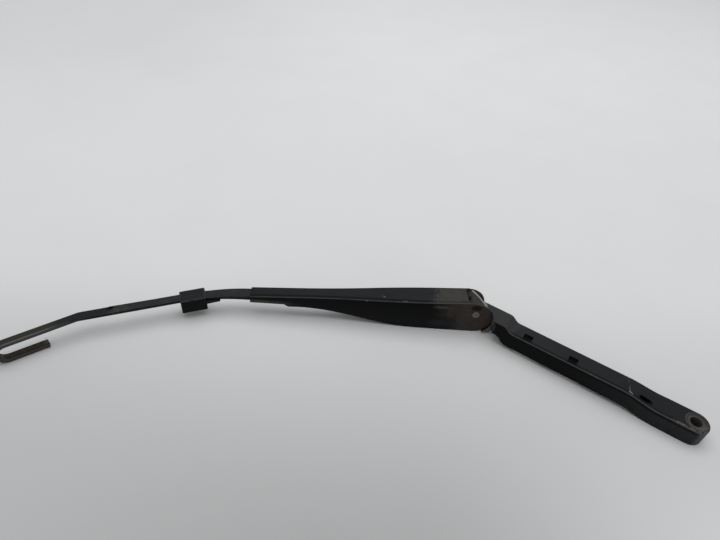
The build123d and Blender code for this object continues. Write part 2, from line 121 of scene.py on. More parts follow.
# Node settings: rays of a bevel, the solid share of a stroke, a mix's first input and its output,
# and the steps with vectors that give a number
BEVEL_SAMPLES = 6
STROKE_CORE = 0.3
MIX_SOCKETS = {"FLOAT": (2, 0), "RGBA": (6, 2)}
NUMBER_RESULTS = {"DOT_PRODUCT", "LENGTH", "DISTANCE"}


class WiperFinishes(bpy.types.PropertyGroup):
    """Colours and gloss of the arm's surfaces."""

    paint: FloatVectorProperty(
        name="Paint", description="Satin black paint of the head and the channel",
        subtype="COLOR", min=0, max=1, default=(0.0034, 0.0036, 0.0040))
    roughness: FloatProperty(
        name="Paint Roughness", description="Roughness of the clean paint",
        subtype="FACTOR", min=0, max=1, default=0.5)
    gloss: FloatProperty(
        name="Paint Gloss", description="Strength of the paint's reflections",
        subtype="FACTOR", min=0, max=1, default=0.06)
    # Grey dust film on the faces that look up; lightened, it is also the colour of painted highlights along
    # the ridges, the fold and the brows, and of painted light on the windows' far cut.
    dust_and_painted_light: FloatVectorProperty(
        name="Dust", description="Grey film on the faces that look up",
        subtype="COLOR", min=0, max=1, default=(0.0192, 0.0199, 0.0212))
    # Dull metal where the paint has worn off; lightened, it is also painted light in the link's slot and on
    # the far lobe's inner face, and part of the painted highlight and reflection on the hook.
    bare_and_painted_light: FloatVectorProperty(
        name="Bare Metal", description="Dull metal where the paint has worn off",
        subtype="COLOR", min=0, max=1, default=(0.050, 0.0485, 0.0455))
    rust: FloatVectorProperty(
        name="Rust", description="Brown film on the worn metal",
        subtype="COLOR", min=0, max=1, default=(0.021, 0.0165, 0.0130))
    # Fresh bright metal in scratches and chips; also the bright line past the knuckle's crest, which is
    # partly a painted highlight.
    scrape: FloatVectorProperty(
        name="Scrape", description="Fresh bright metal in scratches and chips",
        subtype="COLOR", min=0, max=1, default=(0.30, 0.30, 0.29))
    # Old grease round the pins and in the coils; darkened, it is also the painted shade in the gap beside the
    # near lobe.
    grease_and_painted_shade: FloatVectorProperty(
        name="Grease", description="Old grease round the pins and in the coils",
        subtype="COLOR", min=0, max=1, default=(0.010, 0.008, 0.006))
    raised_end: FloatVectorProperty(
        name="Raised End", description="Rubbed top of the head between the hinge and the step",
        subtype="COLOR", min=0, max=1, default=(0.0375, 0.0375, 0.0375))
    # Settled dust inside the head, made light enough to be painted light for the light that reaches the
    # hollow.
    hollow_dust_and_painted_light: FloatVectorProperty(
        name="Hollow", description="Settled dust inside the head",
        subtype="COLOR", min=0, max=1, default=(0.092, 0.092, 0.096))
    mottling: FloatVectorProperty(
        name="Mottling", description="Faint brown patches on the head's walls",
        subtype="COLOR", min=0, max=1, default=(0.0095, 0.0088, 0.0080))
    flaking: FloatVectorProperty(
        name="Flaking", description="Flaked paint on the nose beside the nut seat",
        subtype="COLOR", min=0, max=1, default=(0.105, 0.088, 0.078))
    knuckle: FloatVectorProperty(
        name="Knuckle", description="Rubbed top of the hinge knuckle",
        subtype="COLOR", min=0, max=1, default=(0.039, 0.039, 0.0385))
    # Painted sheen: a bluish painted reflection low on the channel's walls.
    painted_sheen: FloatVectorProperty(
        name="Glint", description="Bluish sheen low on the channel's walls",
        subtype="COLOR", min=0, max=1, default=(0.024, 0.026, 0.031))
    rod: FloatVectorProperty(
        name="Rod Paint", description="Thin dull paint of the rod",
        subtype="COLOR", min=0, max=1, default=(0.0080, 0.0082, 0.0086))
    rod_far: FloatVectorProperty(
        name="Rod Past the Kink", description="Browner top of the rod past its kink",
        subtype="COLOR", min=0, max=1, default=(0.0235, 0.0222, 0.0178))
    # Pale sides past the kink: worn metal, and a painted reflection of the floor.
    rod_sides: FloatVectorProperty(
        name="Rod Sides", description="Pale sides of the rod past its kink",
        subtype="COLOR", min=0, max=1, default=(0.060, 0.060, 0.066))
    hook_rust: FloatVectorProperty(
        name="Hook Rust", description="Rust patches on the hook's return leg",
        subtype="COLOR", min=0, max=1, default=(0.026, 0.0155, 0.009))
    hook_tip: FloatVectorProperty(
        name="Hook Tip", description="Rubbed tip of the hook",
        subtype="COLOR", min=0, max=1, default=(0.062, 0.052, 0.042))
    plastic: FloatVectorProperty(
        name="Clip Plastic", description="Moulded plastic of the clip",
        subtype="COLOR", min=0, max=1, default=(0.0050, 0.0051, 0.0054))
    steel: FloatVectorProperty(
        name="Pin Steel", description="Worn steel of the pins",
        subtype="COLOR", min=0, max=1, default=(0.150, 0.136, 0.120))
    spring: FloatVectorProperty(
        name="Spring Steel", description="Dull steel of the spring and its link",
        subtype="COLOR", min=0, max=1, default=(0.16, 0.15, 0.135))


class WiperEdges(bpy.types.PropertyGroup):
    """How the rod's rolled edges are rounded."""

    rod: FloatProperty(
        name="Rod Edge", description="Rounding of the rolled strip's long edges",
        unit="LENGTH", min=0, default=0.8 * MM)
    sharp: FloatProperty(
        name="Sharp Angle", description="Edges that turn by more than this are rounded",
        subtype="ANGLE", min=0, default=0.6)
    weld: FloatProperty(
        name="Weld", description="Corners of neighbouring faces closer than this are joined",
        unit="LENGTH", min=0, default=0.01 * MM)


class WiperSpring(bpy.types.PropertyGroup):
    """Sizes of the tension spring."""

    coil: FloatProperty(
        name="Coil Radius", description="From the spring's axis to the middle of the wire",
        unit="LENGTH", min=0.001, default=4.05 * MM)
    wire: FloatProperty(
        name="Wire Radius", description="Half the thickness of the wire",
        unit="LENGTH", min=0.0001, default=0.93 * MM)
    turns: IntProperty(
        name="Turns", description="Full turns of the coil", min=4, max=60, default=28)
    start: FloatProperty(
        name="Coil Start", description="From the anchor pin to the first turn",
        unit="LENGTH", min=0, default=34 * MM)
    link_bear: FloatProperty(
        name="Link Hook", description="From the anchor pin to the hook in the link",
        unit="LENGTH", min=0, default=27.55 * MM)
    hook_step: FloatProperty(
        name="Hook Step", description="From the last turn to the middle of the rod's hole",
        unit="LENGTH", min=0, default=7 * MM)
    hook_past: FloatProperty(
        name="Hook End", description="How far each hook reaches through its hole",
        unit="LENGTH", min=0, default=2.8 * MM)


class WiperStage(bpy.types.PropertyGroup):
    """Floor, light and camera."""

    floor: FloatVectorProperty(
        name="Floor", description="Pale sheet that the arm lies on",
        subtype="COLOR", min=0, max=1, default=(0.775, 0.777, 0.780))
    reach: FloatProperty(
        name="Floor Reach", description="From the middle of the floor to its edges",
        unit="LENGTH", min=0.5, default=6.0)
    sky: FloatProperty(
        name="Sky", description="Strength of the even light from all round",
        min=0, max=2, default=0.42)
    backdrop: FloatProperty(
        name="Backdrop", description="Brightness of the backdrop, as seen or mirrored",
        min=0, max=1, default=0.7)
    sky_tint: FloatVectorProperty(
        name="Sky Tint", description="Cool tint of the sky and the backdrop",
        subtype="COLOR", min=0, max=1, default=(0.97, 0.985, 1.0))
    lamp: FloatProperty(
        name="Soft Box", description="Power of the wide soft box overhead",
        unit="POWER", min=0, default=38.0)
    lamp_width: FloatProperty(
        name="Soft Box Width", description="Size of the soft box along X",
        unit="LENGTH", min=0.1, default=3.0)
    lamp_depth: FloatProperty(
        name="Soft Box Depth", description="Size of the soft box along Y",
        unit="LENGTH", min=0.1, default=2.4)
    lamp_place: FloatVectorProperty(
        name="Soft Box Place", description="Where the soft box hangs, facing down",
        subtype="XYZ", unit="LENGTH", default=(-0.25, 0.58, 2.2))
    lens: FloatProperty(
        name="Lens", description="Focal length on a frame 36 mm wide",
        unit="CAMERA", min=5, default=26.5)
    eye: FloatVectorProperty(
        name="Camera Place", description="Where the camera stands",
        subtype="XYZ", unit="LENGTH", default=(-0.28827, -0.24434, 0.37235))


class WiperArmSettings(bpy.types.PropertyGroup):
    """All settings of the wiper arm."""

    finishes: PointerProperty(type=WiperFinishes)
    edges: PointerProperty(type=WiperEdges)
    spring: PointerProperty(type=WiperSpring)
    stage: PointerProperty(type=WiperStage)


def tinted(colour, factor):
    """A colour made lighter or darker."""
    return tuple(min(1.0, factor * part) for part in colour)


class Finish:
    """A surface built up in coats, each laid over the last through a mask."""

    def __init__(self, name, colour, rough, metal=0.0, gloss=0.5):
        self.material = bpy.data.materials.new(name)
        self.material.use_nodes = True
        self.tree = self.material.node_tree
        self.tree.nodes.clear()
        self.colour = tuple(colour)
        self.rough = rough
        self.metal = metal
        self.gloss = gloss
        coordinates = self.add("ShaderNodeTexCoord")
        self.place = coordinates.outputs["Object"]
        self.x, self.y, self.z = self.add("ShaderNodeSeparateXYZ", Vector=self.place).outputs
        self.facing = coordinates.outputs["Normal"]
        facing = self.add("ShaderNodeSeparateXYZ", Vector=self.facing)
        self.facing_y, self.facing_z = facing.outputs[1:]

    def add(self, kind, settings=None, **values):
        """Adds a node and fills its inputs, from a socket or with a constant."""
        node = self.tree.nodes.new(kind)
        for name, value in (settings or {}).items():
            setattr(node, name, value)
        for name, value in values.items():
            self.fill(node.inputs[name.replace("_", " ")], value)
        return node

    def fill(self, socket, value):
        """Links a socket or sets its constant."""
        if isinstance(value, bpy.types.NodeSocket):
            self.tree.links.new(value, socket)
        elif socket.type == "RGBA":
            socket.default_value = (*value[:3], 1.0)
        else:
            socket.default_value = value

    def math(self, operation, *values, clamp=False):
        """One step of arithmetic."""
        node = self.add("ShaderNodeMath", {"operation": operation, "use_clamp": clamp})
        for socket, value in zip(node.inputs, values):
            self.fill(socket, value)
        return node.outputs[0]

    def vector(self, operation, *values):
        """One step of arithmetic with vectors, whose result may be a number."""
        node = self.add("ShaderNodeVectorMath", {"operation": operation})
        for socket, value in zip(node.inputs, values):
            self.fill(socket, value)
        return node.outputs["Value" if operation in NUMBER_RESULTS else "Vector"]

    def both(self, *masks):
        """Where all the masks hold."""
        result = masks[0]
        for mask in masks[1:]:
            result = self.math("MULTIPLY", result, mask)
        return result

    def either(self, *masks):
        """Where any of the masks holds."""
        result = masks[0]
        for mask in masks[1:]:
            result = self.math("MAXIMUM", result, mask)
        return result

    def outside(self, mask):
        """Where a mask doesn't hold."""
        return self.math("SUBTRACT", 1.0, mask)

    def faint(self, mask, share):
        """A mask at a share of its strength."""
        return self.math("MULTIPLY", mask, share)

    def over(self, value, none, full):
        """Rises smoothly from 0, where the value is none, to 1, where it is full."""
        node = self.add(
            "ShaderNodeMapRange", {"interpolation_type": "SMOOTHSTEP"},
            Value=value, From_Min=none, From_Max=full)
        return node.outputs[0]

    def within(self, value, low, high, soft):
        """Between two values, with a soft margin."""
        rising = self.over(value, none=low - soft, full=low + soft)
        falling = self.over(value, none=high + soft, full=high - soft)
        return self.both(rising, falling)

    def noise(self, scale, detail=3.0, roughness=0.55, stretch=None):
        """Cloudy noise; scale is in spots to the metre."""
        where = self.vector("MULTIPLY", self.place, stretch) if stretch else self.place
        node = self.add("ShaderNodeTexNoise", Vector=where, Scale=scale, Detail=detail, Roughness=roughness)
        return node.outputs[0]

    def spots(self, scale, low, high, detail=3.0, stretch=None):
        """Patches of noise between two levels."""
        return self.over(self.noise(scale, detail, stretch=stretch), none=low, full=high)

    def patchy(self, mask, **grain):
        """A mask broken up by patches of noise."""
        return self.both(mask, self.spots(**grain))

    def ragged(self, value, amount, scale):
        """A value whose contour lines run irregularly."""
        wander = self.math("SUBTRACT", self.noise(scale, detail=5.0, roughness=0.65), 0.5)
        return self.math("MULTIPLY_ADD", wander, amount, value)

    def distance(self, point, weights=(1, 1, 1)):
        """Distance from a point, or from an axis where a weight is nought."""
        shift = self.vector("SUBTRACT", self.place, point)
        return self.vector("LENGTH", self.vector("MULTIPLY", shift, weights))

    def ahead(self, point, direction):
        """How far the place lies from a point, along a direction."""
        along = self.vector("DOT_PRODUCT", self.place, direction)
        return self.math("SUBTRACT", along, Vector(point).dot(direction))

    def near(self, point, inner, outer, weights=(1, 1, 1)):
        """Close to a point or an axis."""
        return self.over(self.distance(point, weights), none=outer, full=inner)

    def stroke(self, start, end, width):
        """A thin line from one point to another."""
        along = Vector(end) - Vector(start)
        shift = self.vector("SUBTRACT", self.place, start)
        part = self.vector("DOT_PRODUCT", shift, along / along.length_squared)
        share = self.math("ADD", part, 0.0, clamp=True)
        foot = self.add("ShaderNodeVectorMath", {"operation": "SCALE"}, Scale=share)
        self.fill(foot.inputs[0], along)
        gap = self.vector("DISTANCE", shift, foot.outputs[0])
        return self.over(gap, none=width, full=STROKE_CORE * width)

    def edges(self, radius):
        """Along the edges, where the rounded normal leaves the face's own."""
        rounded = self.add("ShaderNodeBevel", {"samples": BEVEL_SAMPLES}, Radius=radius)
        flat = self.add("ShaderNodeNewGeometry")
        agree = self.vector("DOT_PRODUCT", rounded.outputs[0], flat.outputs["Normal"])
        return self.over(agree, none=0.98, full=0.86)

    def coat(self, mask, colour, rough=None, metal=None):
        """Lays a colour, and a roughness and metal if given, over the last through a mask."""
        self.colour = self.mixed(mask, self.colour, colour, "RGBA")
        if rough is not None:
            self.rough = self.mixed(mask, self.rough, rough, "FLOAT")
        if metal is not None:
            self.metal = self.mixed(mask, self.metal, metal, "FLOAT")

    def mixed(self, mask, below, above, kind):
        """Mixes two colours or two numbers by a mask."""
        first, result = MIX_SOCKETS[kind]
        node = self.add("ShaderNodeMix", {"data_type": kind})
        self.fill(node.inputs[0], mask)
        self.fill(node.inputs[first], below)
        self.fill(node.inputs[first + 1], above)
        return node.outputs[result]

    def done(self, reliefs, edge=0.0):
        """Joins the coats and the relief to the shader; a relief is (height, depth)."""
        normal = None
        if edge:
            normal = self.add("ShaderNodeBevel", {"samples": BEVEL_SAMPLES}, Radius=edge).outputs[0]
        for height, depth in reliefs:
            bump = self.add("ShaderNodeBump", Strength=1.0, Distance=depth, Height=height)
            if normal:
                self.fill(bump.inputs["Normal"], normal)
            normal = bump.outputs[0]
        shader = self.add(
            "ShaderNodeBsdfPrincipled", Base_Color=self.colour, Roughness=self.rough,
            Metallic=self.metal, Specular_IOR_Level=self.gloss, Normal=normal)
        output = self.add("ShaderNodeOutputMaterial", Surface=shader.outputs[0])
        output.is_active_output = True
        return self.material


class HeadPaint(Finish):
    """The head's paint, with the measures that its coats share."""

    def __init__(self, look):
        super().__init__("head_paint", look.paint, look.roughness, gloss=look.gloss)
        self.side = self.vector("DOT_PRODUCT", self.facing, NEAR_SIDE)
        self.from_hinge = self.ahead(HINGE, ALONG_BEAM)
        self.from_middle = self.ahead(HINGE, NEAR_SIDE)
        self.top = self.over(self.facing_z, none=0.5, full=0.8)
        flat = self.over(self.math("ABSOLUTE", self.side), none=0.34, full=0.06)
        self.up = self.both(flat, self.over(self.facing_z, none=0.25, full=0.6))
        self.walls = self.outside(self.up)
        past_hollow = self.over(self.math("ABSOLUTE", self.from_middle), none=0.0074, full=0.0080)
        self.outer = self.either(past_hollow, self.over(self.x, none=-0.008, full=-0.004))
        nose = self.over(self.from_hinge, none=0.139, full=0.179)
        half_width = self.math("MULTIPLY_ADD", nose, NOSE_WIDENING, BEAM_HALF_WIDTH)
        self.past_wall = self.math("SUBTRACT", self.from_middle, half_width)


def head_film(paint, look):
    """Clouded paint under a grey film, which is lighter by the hinge and on the raised end."""
    paint.coat(paint.spots(scale=45, low=0.35, high=0.75), tinted(look.paint, 1.3), rough=0.58)
    film = paint.patchy(paint.up, scale=160, low=-0.25, high=0.65, detail=6)
    paint.coat(film, look.dust_and_painted_light, rough=0.72)
    by_hinge = paint.both(paint.up, paint.over(paint.from_hinge, none=0.11, full=0.04))
    paint.coat(paint.patchy(by_hinge, scale=120, low=0.0, high=0.7, detail=5), tinted(look.dust_and_painted_light, 1.3))
    specks = paint.patchy(paint.up, scale=1500, low=0.6, high=0.75, detail=1)
    paint.coat(specks, tinted(look.dust_and_painted_light, 1.6), rough=0.8)
    by_nose = paint.over(paint.from_hinge, none=0.12, full=0.17)
    paint.coat(paint.faint(paint.both(paint.up, by_nose), 0.6), tinted(look.dust_and_painted_light, 0.72))
    frayed = paint.ragged(paint.from_hinge, amount=0.006, scale=160)
    raised = paint.both(
        paint.over(frayed, none=0.0465, full=0.0415), paint.over(paint.facing_z, none=0.3, full=0.6))
    rubbed_and_highlight = paint.patchy(raised, scale=260, low=0.0, high=0.6, detail=5)
    paint.coat(rubbed_and_highlight, look.raised_end, rough=0.66)


def head_walls(paint, look):
    """Paler walls towards the nose, settled dust in the hollow that is lightened as painted light, and faint
    mottling.
    """
    nose = paint.both(paint.over(paint.x, none=-0.095, full=-0.010), paint.outer, paint.walls)
    paint.coat(paint.patchy(nose, scale=220, low=-0.4, high=0.6), tinted(look.dust_and_painted_light, 1.3), rough=0.6)
    # Settled dust in the hollow, lightened: painted light for the light that reaches it through the windows.
    hollow_dust_and_painted_light = paint.both(
        paint.outside(paint.outer),
        paint.over(paint.z, none=0.0150, full=0.0140),
        paint.within(paint.from_hinge, 0.045, 0.180, soft=0.004))
    paint.coat(hollow_dust_and_painted_light, look.hollow_dust_and_painted_light, rough=0.7)
    mottled = paint.both(
        paint.outer, paint.walls,
        paint.over(paint.from_hinge, none=0.07, full=0.11),
        paint.spots(scale=150, low=0.45, high=0.75, detail=5))
    paint.coat(paint.faint(mottled, 0.6), look.mottling, rough=0.6)


def head_windows(paint, look):
    """Painted shade as a dark margin on the near side of the two windows, and painted light on the shaded cut
    of their far side, in the dust colour.
    """
    windows = paint.either(*[
        paint.within(paint.from_hinge, at - WINDOW_HALF_LENGTH, at + WINDOW_HALF_LENGTH, soft=0.0004)
        for at in WINDOWS])
    # Painted shade: a dark margin that makes the windows' dark openings look larger.
    margin = paint.within(paint.from_middle, 0.0057, 0.0083, soft=0.0005)
    paint.coat(paint.both(margin, windows, paint.top), tinted(look.paint, 0.2), rough=0.7)
    # Painted light: the cut of the windows' far side, which lies in deep shade, is lightened.
    far_cut = paint.both(
        windows,
        paint.within(paint.from_middle, -0.0005, 0.0005, soft=0.0002),
        paint.over(paint.side, none=0.85, full=0.95),
        paint.over(paint.z, none=0.0160, full=0.0170))
    paint.coat(far_cut, tinted(look.dust_and_painted_light, 3.2), rough=0.7)


def head_ridges(paint, look):
    """Light ridges as painted highlights, between a dark margin on the top and a dark band on the wall, both
    painted shade.
    """
    # Painted shade: a dark line on the top just inside the ridge.
    margin = paint.both(
        paint.within(paint.past_wall, -0.0031, -0.0013, soft=0.0005), paint.top,
        paint.over(paint.from_hinge, none=0.036, full=0.044))
    paint.coat(paint.faint(margin, 0.6), look.paint)
    # Painted shade: a dark band on the wall just under the ridge.
    slope = paint.over(paint.from_hinge, none=0.141, full=0.172)
    top_level = paint.math("MULTIPLY_ADD", slope, -NOSE_FALL, HEAD_TOP)
    band = paint.both(
        paint.over(paint.side, none=0.85, full=0.95),
        paint.within(paint.math("SUBTRACT", top_level, paint.z), -0.0005, 0.0032, soft=0.0010),
        paint.over(paint.from_hinge, none=0.046, full=0.054))
    paint.coat(paint.faint(band, 0.85), tinted(look.paint, 0.5))
    # Painted highlight: a light line along the ridge's fillet, in the dust colour.
    ridge = paint.within(paint.side, 0.52, 0.90, soft=0.07)
    rubbed_and_highlight = paint.patchy(ridge, scale=220, low=-0.1, high=0.6, detail=6)
    paint.coat(rubbed_and_highlight, tinted(look.dust_and_painted_light, 3.0), rough=0.5)
    rim = paint.both(
        paint.within(paint.past_wall, -0.0022, -0.0003, soft=0.0004),
        paint.spots(scale=420, low=0.35, high=0.6, detail=5),
        paint.near((-0.0115, -0.0045, 0.0165), inner=0.005, outer=0.012))
    paint.coat(rim, tinted(look.bare_and_painted_light, 1.7), rough=0.5)
    brow = paint.within(paint.facing_z, 0.3, 0.82, soft=0.15)
    pinholes = paint.patchy(brow, scale=600, low=0.64, high=0.72, detail=5)
    paint.coat(pinholes, tinted(look.bare_and_painted_light, 0.8), rough=0.5)


def head_seat(paint, look):
    """Bare bore and stained nut seat with a bright ring, flaked and scraped on the nose beside it."""
    from_bore = paint.distance(BORE, ROUND_BORE)
    frayed = paint.ragged(from_bore, amount=0.0016, scale=300)
    upper = paint.over(paint.z, none=0.009, full=0.014)
    seat = paint.both(paint.over(frayed, none=0.0092, full=0.0082), upper)
    paint.coat(seat, tinted(look.bare_and_painted_light, 0.62), rough=0.55)
    ring = paint.within(frayed, 0.0072, 0.0084, soft=0.0004)
    paint.coat(paint.both(seat, ring), tinted(look.bare_and_painted_light, 1.1), rough=0.45)
    right_half = paint.both(seat, paint.over(paint.x, none=-0.004, full=0.006))
    stain = paint.patchy(right_half, scale=330, low=0.4, high=0.65, detail=5)
    paint.coat(stain, tinted(look.rust, 2.2), rough=0.6)
    brink = paint.near((0.0030, -0.0075, 0.0168), inner=0.003, outer=0.0080)
    flaked = paint.patchy(brink, scale=600, low=0.36, high=0.56, detail=5)
    paint.coat(flaked, look.flaking, rough=0.5)
    foot = paint.both(paint.near((0.0085, -0.0070, 0.0020), inner=0.003, outer=0.0085), paint.walls)
    scraped = paint.patchy(foot, scale=260, low=0.0, high=0.6, detail=5)
    paint.coat(scraped, tinted(look.bare_and_painted_light, 1.5), rough=0.5)
    bore = paint.over(from_bore, none=0.0068, full=0.0062)
    below_rim = paint.over(paint.z, none=0.0172, full=0.0166)
    paint.coat(paint.both(bore, below_rim), tinted(look.bare_and_painted_light, 1.3), rough=0.5)


def head_knuckle(paint, look):
    """Rubbed and rusty top of the knuckle, bright past its crest with worn metal and a painted highlight."""
    from_pin = paint.ragged(paint.distance(HINGE, ROUND_PIN), amount=0.003, scale=300)
    upper = paint.over(paint.z, none=0.0256, full=0.0268)
    knuckle = paint.both(paint.over(from_pin, none=0.0128, full=0.0118), upper)
    paint.coat(knuckle, look.knuckle, rough=0.45)
    rusty = paint.patchy(knuckle, scale=380, low=0.45, high=0.7, detail=5)
    paint.coat(rusty, tinted(look.rust, 1.4), rough=0.6)
    # Bright line past the crest: worn bare metal, and a painted highlight of the knuckle's curve.
    crest_point = HINGE + Vector((-0.0020, 0.0093, 0.0))
    past_crest = paint.ragged(paint.ahead(crest_point, ACROSS_CREST), amount=0.0012, scale=420)
    crest = paint.both(knuckle, paint.over(past_crest, none=-0.0019, full=-0.0010))
    paint.coat(crest, look.scrape, rough=0.4)


def head_heel(paint, look):
    """Rubbed heel and end of the hollow round the near lobe, painted shade in the gap beside the lobe, and
    painted light in the link's slot.
    """
    from_lobe = paint.distance(LOBE_MIDDLE, ROUND_PIN)
    low_down = paint.over(paint.z, none=0.0155, full=0.0125)
    heel = paint.both(
        paint.within(from_lobe, 0.0178, 0.0235, soft=0.0003), low_down,
        paint.over(paint.y, none=HINGE.y - 0.0150, full=HINGE.y - 0.0136),
        paint.over(paint.from_hinge, none=0.0222, full=0.0204))
    rubbed_and_highlight = paint.patchy(heel, scale=300, low=-0.2, high=0.5, detail=4)
    paint.coat(rubbed_and_highlight, tinted(look.bare_and_painted_light, 2.3), rough=0.55)
    round_lobe = paint.within(from_lobe, 0.0176, 0.0186, soft=0.0002)
    high_up = paint.over(paint.z, none=0.0140, full=0.0160)
    end_sides = paint.either(
        paint.both(high_up, paint.over(paint.y, none=0.0928, full=0.0942)),
        paint.over(paint.y, none=0.0952, full=0.0962))
    hollow_end = paint.both(
        round_lobe, end_sides,
        paint.over(paint.side, none=0.95, full=0.85),
        paint.over(paint.z, none=0.0255, full=0.0235),
        paint.over(paint.from_hinge, none=0.036, full=0.032))
    paint.coat(hollow_end, tinted(look.bare_and_painted_light, 1.8), rough=0.55)
    # Painted shade: a dark line in the gap between the near lobe and the heel.
    gap = paint.both(round_lobe, low_down, paint.over(paint.y, none=0.0971, full=0.0977))
    paint.coat(gap, tinted(look.grease_and_painted_shade, 0.5), rough=0.6)
    # Painted light: the link's slot, which lies in shade, is lightened to match the knuckle round it.
    from_slot = paint.math("ABSOLUTE", paint.math("SUBTRACT", paint.y, HINGE.y))
    link_slot = paint.both(
        paint.over(from_slot, none=0.0034, full=0.0030),
        paint.over(paint.z, none=0.0265, full=0.0275),
        paint.over(paint.x, none=-0.1672, full=-0.1680),
        paint.over(paint.facing_z, none=0.8, full=0.5))
    paint.coat(link_slot, tinted(look.bare_and_painted_light, 2.4), rough=0.55)


def head_marks(paint, look):
    """Painted shade beside the slot, worn cut edges, a long scratch and a nick in the ridge."""
    # Painted shade: a dark patch on the near side of the nose's slot, which makes its opening look larger.
    paint.coat(paint.faint(paint.stroke(*SLOT_SHADE), 0.85), look.paint, rough=0.6)
    edges = paint.both(paint.edges(0.0005), paint.over(paint.side, none=0.9, full=0.5))
    cuts = paint.patchy(edges, scale=500, low=0.42, high=0.62, detail=4)
    paint.coat(cuts, tinted(look.bare_and_painted_light, 0.7), rough=0.5)
    line = paint.either(*[paint.stroke(*mark) for mark in HEAD_SCRATCHES])
    scratch = paint.patchy(line, scale=900, low=0.44, high=0.6, detail=4)
    paint.coat(scratch, tinted(look.scrape, 0.8), rough=0.4)
    nick = paint.patchy(paint.stroke(*RIDGE_NICK), scale=700, low=0.35, high=0.6, detail=4)
    paint.coat(nick, tinted(look.bare_and_painted_light, 1.5), rough=0.5)


def head_finish(look):
    """Satin paint of the cast head, worn at the nose, the nut seat and the knuckle."""
    paint = HeadPaint(look)
    head_film(paint, look)
    head_walls(paint, look)
    head_windows(paint, look)
    head_ridges(paint, look)
    head_seat(paint, look)
    head_knuckle(paint, look)
    head_heel(paint, look)
    head_marks(paint, look)
    peel = paint.noise(scale=1100, detail=2)
    waves = paint.noise(scale=180)
    return paint.done([(peel, 0.06 * MM), (waves, 0.2 * MM)], edge=0.4 * MM)


class ChannelPaint(Finish):
    """The channel's paint, with the measures that its coats share."""

    def __init__(self, look):
        super().__init__("channel_paint", look.paint, look.roughness, gloss=look.gloss)
        flank = self.math("ABSOLUTE", self.facing_y)
        flat = self.over(flank, none=0.34, full=0.06)
        self.up = self.both(flat, self.over(self.facing_z, none=0.25, full=0.6))
        self.walls = self.over(self.facing_z, none=0.6, full=0.3)
        self.off_walls = self.over(flank, none=0.5, full=0.2)
        self.fold = self.within(self.facing_y, -0.90, -0.52, soft=0.07)
        flare = self.over(self.x, none=HINGE.x - 0.1641, full=HINGE.x - 0.0341)
        half_width = self.math("MULTIPLY_ADD", flare, CHANNEL_FLARE, CRIMP_HALF_WIDTH)
        from_middle = self.math("SUBTRACT", HINGE.y, self.y)
        self.past_wall = self.math("SUBTRACT", from_middle, half_width)
        along = self.ahead((0, HINGE.y, 0), Vector((1.0, -0.25, 0.0)))
        self.along = self.ragged(self.ragged(along, amount=0.016, scale=120), amount=0.006, scale=900)


def channel_film(paint, look):
    """Clouded paint, a grey film on the top, painted shade high on the walls and a painted reflection low on
    them, a painted highlight on the fold and a bare crimp.
    """
    paint.coat(paint.spots(scale=55, low=0.35, high=0.75), tinted(look.paint, 1.3), rough=0.58)
    film = paint.patchy(paint.up, scale=140, low=-0.2, high=0.65, detail=6, stretch=(0.4, 1, 1))
    paint.coat(film, tinted(look.dust_and_painted_light, 0.94), rough=0.7)
    specks = paint.patchy(paint.up, scale=1500, low=0.6, high=0.75, detail=1)
    paint.coat(specks, tinted(look.dust_and_painted_light, 1.5), rough=0.8)
    # Painted shade: walls darker just under the top.
    above = paint.both(paint.walls, paint.over(paint.z, none=0.022, full=0.030))
    paint.coat(above, tinted(look.paint, 0.5))
    # Painted reflection: walls lighter towards the floor.
    below = paint.both(paint.walls, paint.over(paint.z, none=0.022, full=0.006))
    paint.coat(paint.patchy(below, scale=60, low=0.0, high=0.7), tinted(look.paint, 2.6), rough=0.5)
    # Painted highlight: a light line along the fold, in the dust colour.
    rubbed_and_highlight = paint.patchy(paint.fold, scale=160, low=-0.1, high=0.6, detail=6, stretch=(0.5, 1, 1))
    paint.coat(rubbed_and_highlight, tinted(look.dust_and_painted_light, 2.7), rough=0.5)
    crimp = paint.both(
        paint.walls,
        paint.over(paint.x, none=-0.325, full=-0.365),
        paint.over(paint.z, none=0.0215, full=0.0165))
    worn = paint.patchy(crimp, scale=200, low=0.1, high=0.6, detail=5)
    paint.coat(worn, tinted(look.bare_and_painted_light, 1.4), rough=0.5)


def channel_wear(paint, look):
    """Top rubbed through towards the hinge, with a frayed border, and painted shade as a dark margin along
    the fold.
    """
    rubbed_and_highlight = paint.both(paint.over(paint.along, none=-0.2085, full=-0.1930), paint.off_walls)
    paint.coat(rubbed_and_highlight, tinted(look.bare_and_painted_light, 0.92), rough=0.55)
    rusty = paint.patchy(rubbed_and_highlight, scale=260, low=0.45, high=0.7, detail=6)
    paint.coat(rusty, tinted(look.rust, 1.9), rough=0.6)
    border = paint.both(paint.within(paint.along, -0.2045, -0.1965, soft=0.004), paint.off_walls)
    frayed = paint.patchy(border, scale=330, low=0.38, high=0.72, detail=6)
    paint.coat(paint.faint(frayed, 0.8), tinted(look.bare_and_painted_light, 1.3), rough=0.5)
    worn_end = paint.over(paint.along, none=-0.2100, full=-0.1980)
    paint.coat(paint.both(paint.fold, worn_end), tinted(look.bare_and_painted_light, 1.4), rough=0.5)
    # Painted shade: a dark line on the top just inside the fold.
    margin = paint.both(
        paint.within(paint.past_wall, -0.0034, -0.0014, soft=0.0006),
        paint.over(paint.facing_z, none=0.6, full=0.85),
        paint.math("MULTIPLY_ADD", worn_end, -0.45, 0.8))
    paint.coat(paint.patchy(margin, scale=200, low=-0.4, high=0.5, detail=5), look.paint)
    by_hinge = paint.both(paint.over(paint.x, none=-0.235, full=-0.200), paint.up)
    paint.coat(paint.patchy(by_hinge, scale=1100, low=0.62, high=0.7), look.bare_and_painted_light, rough=0.5)


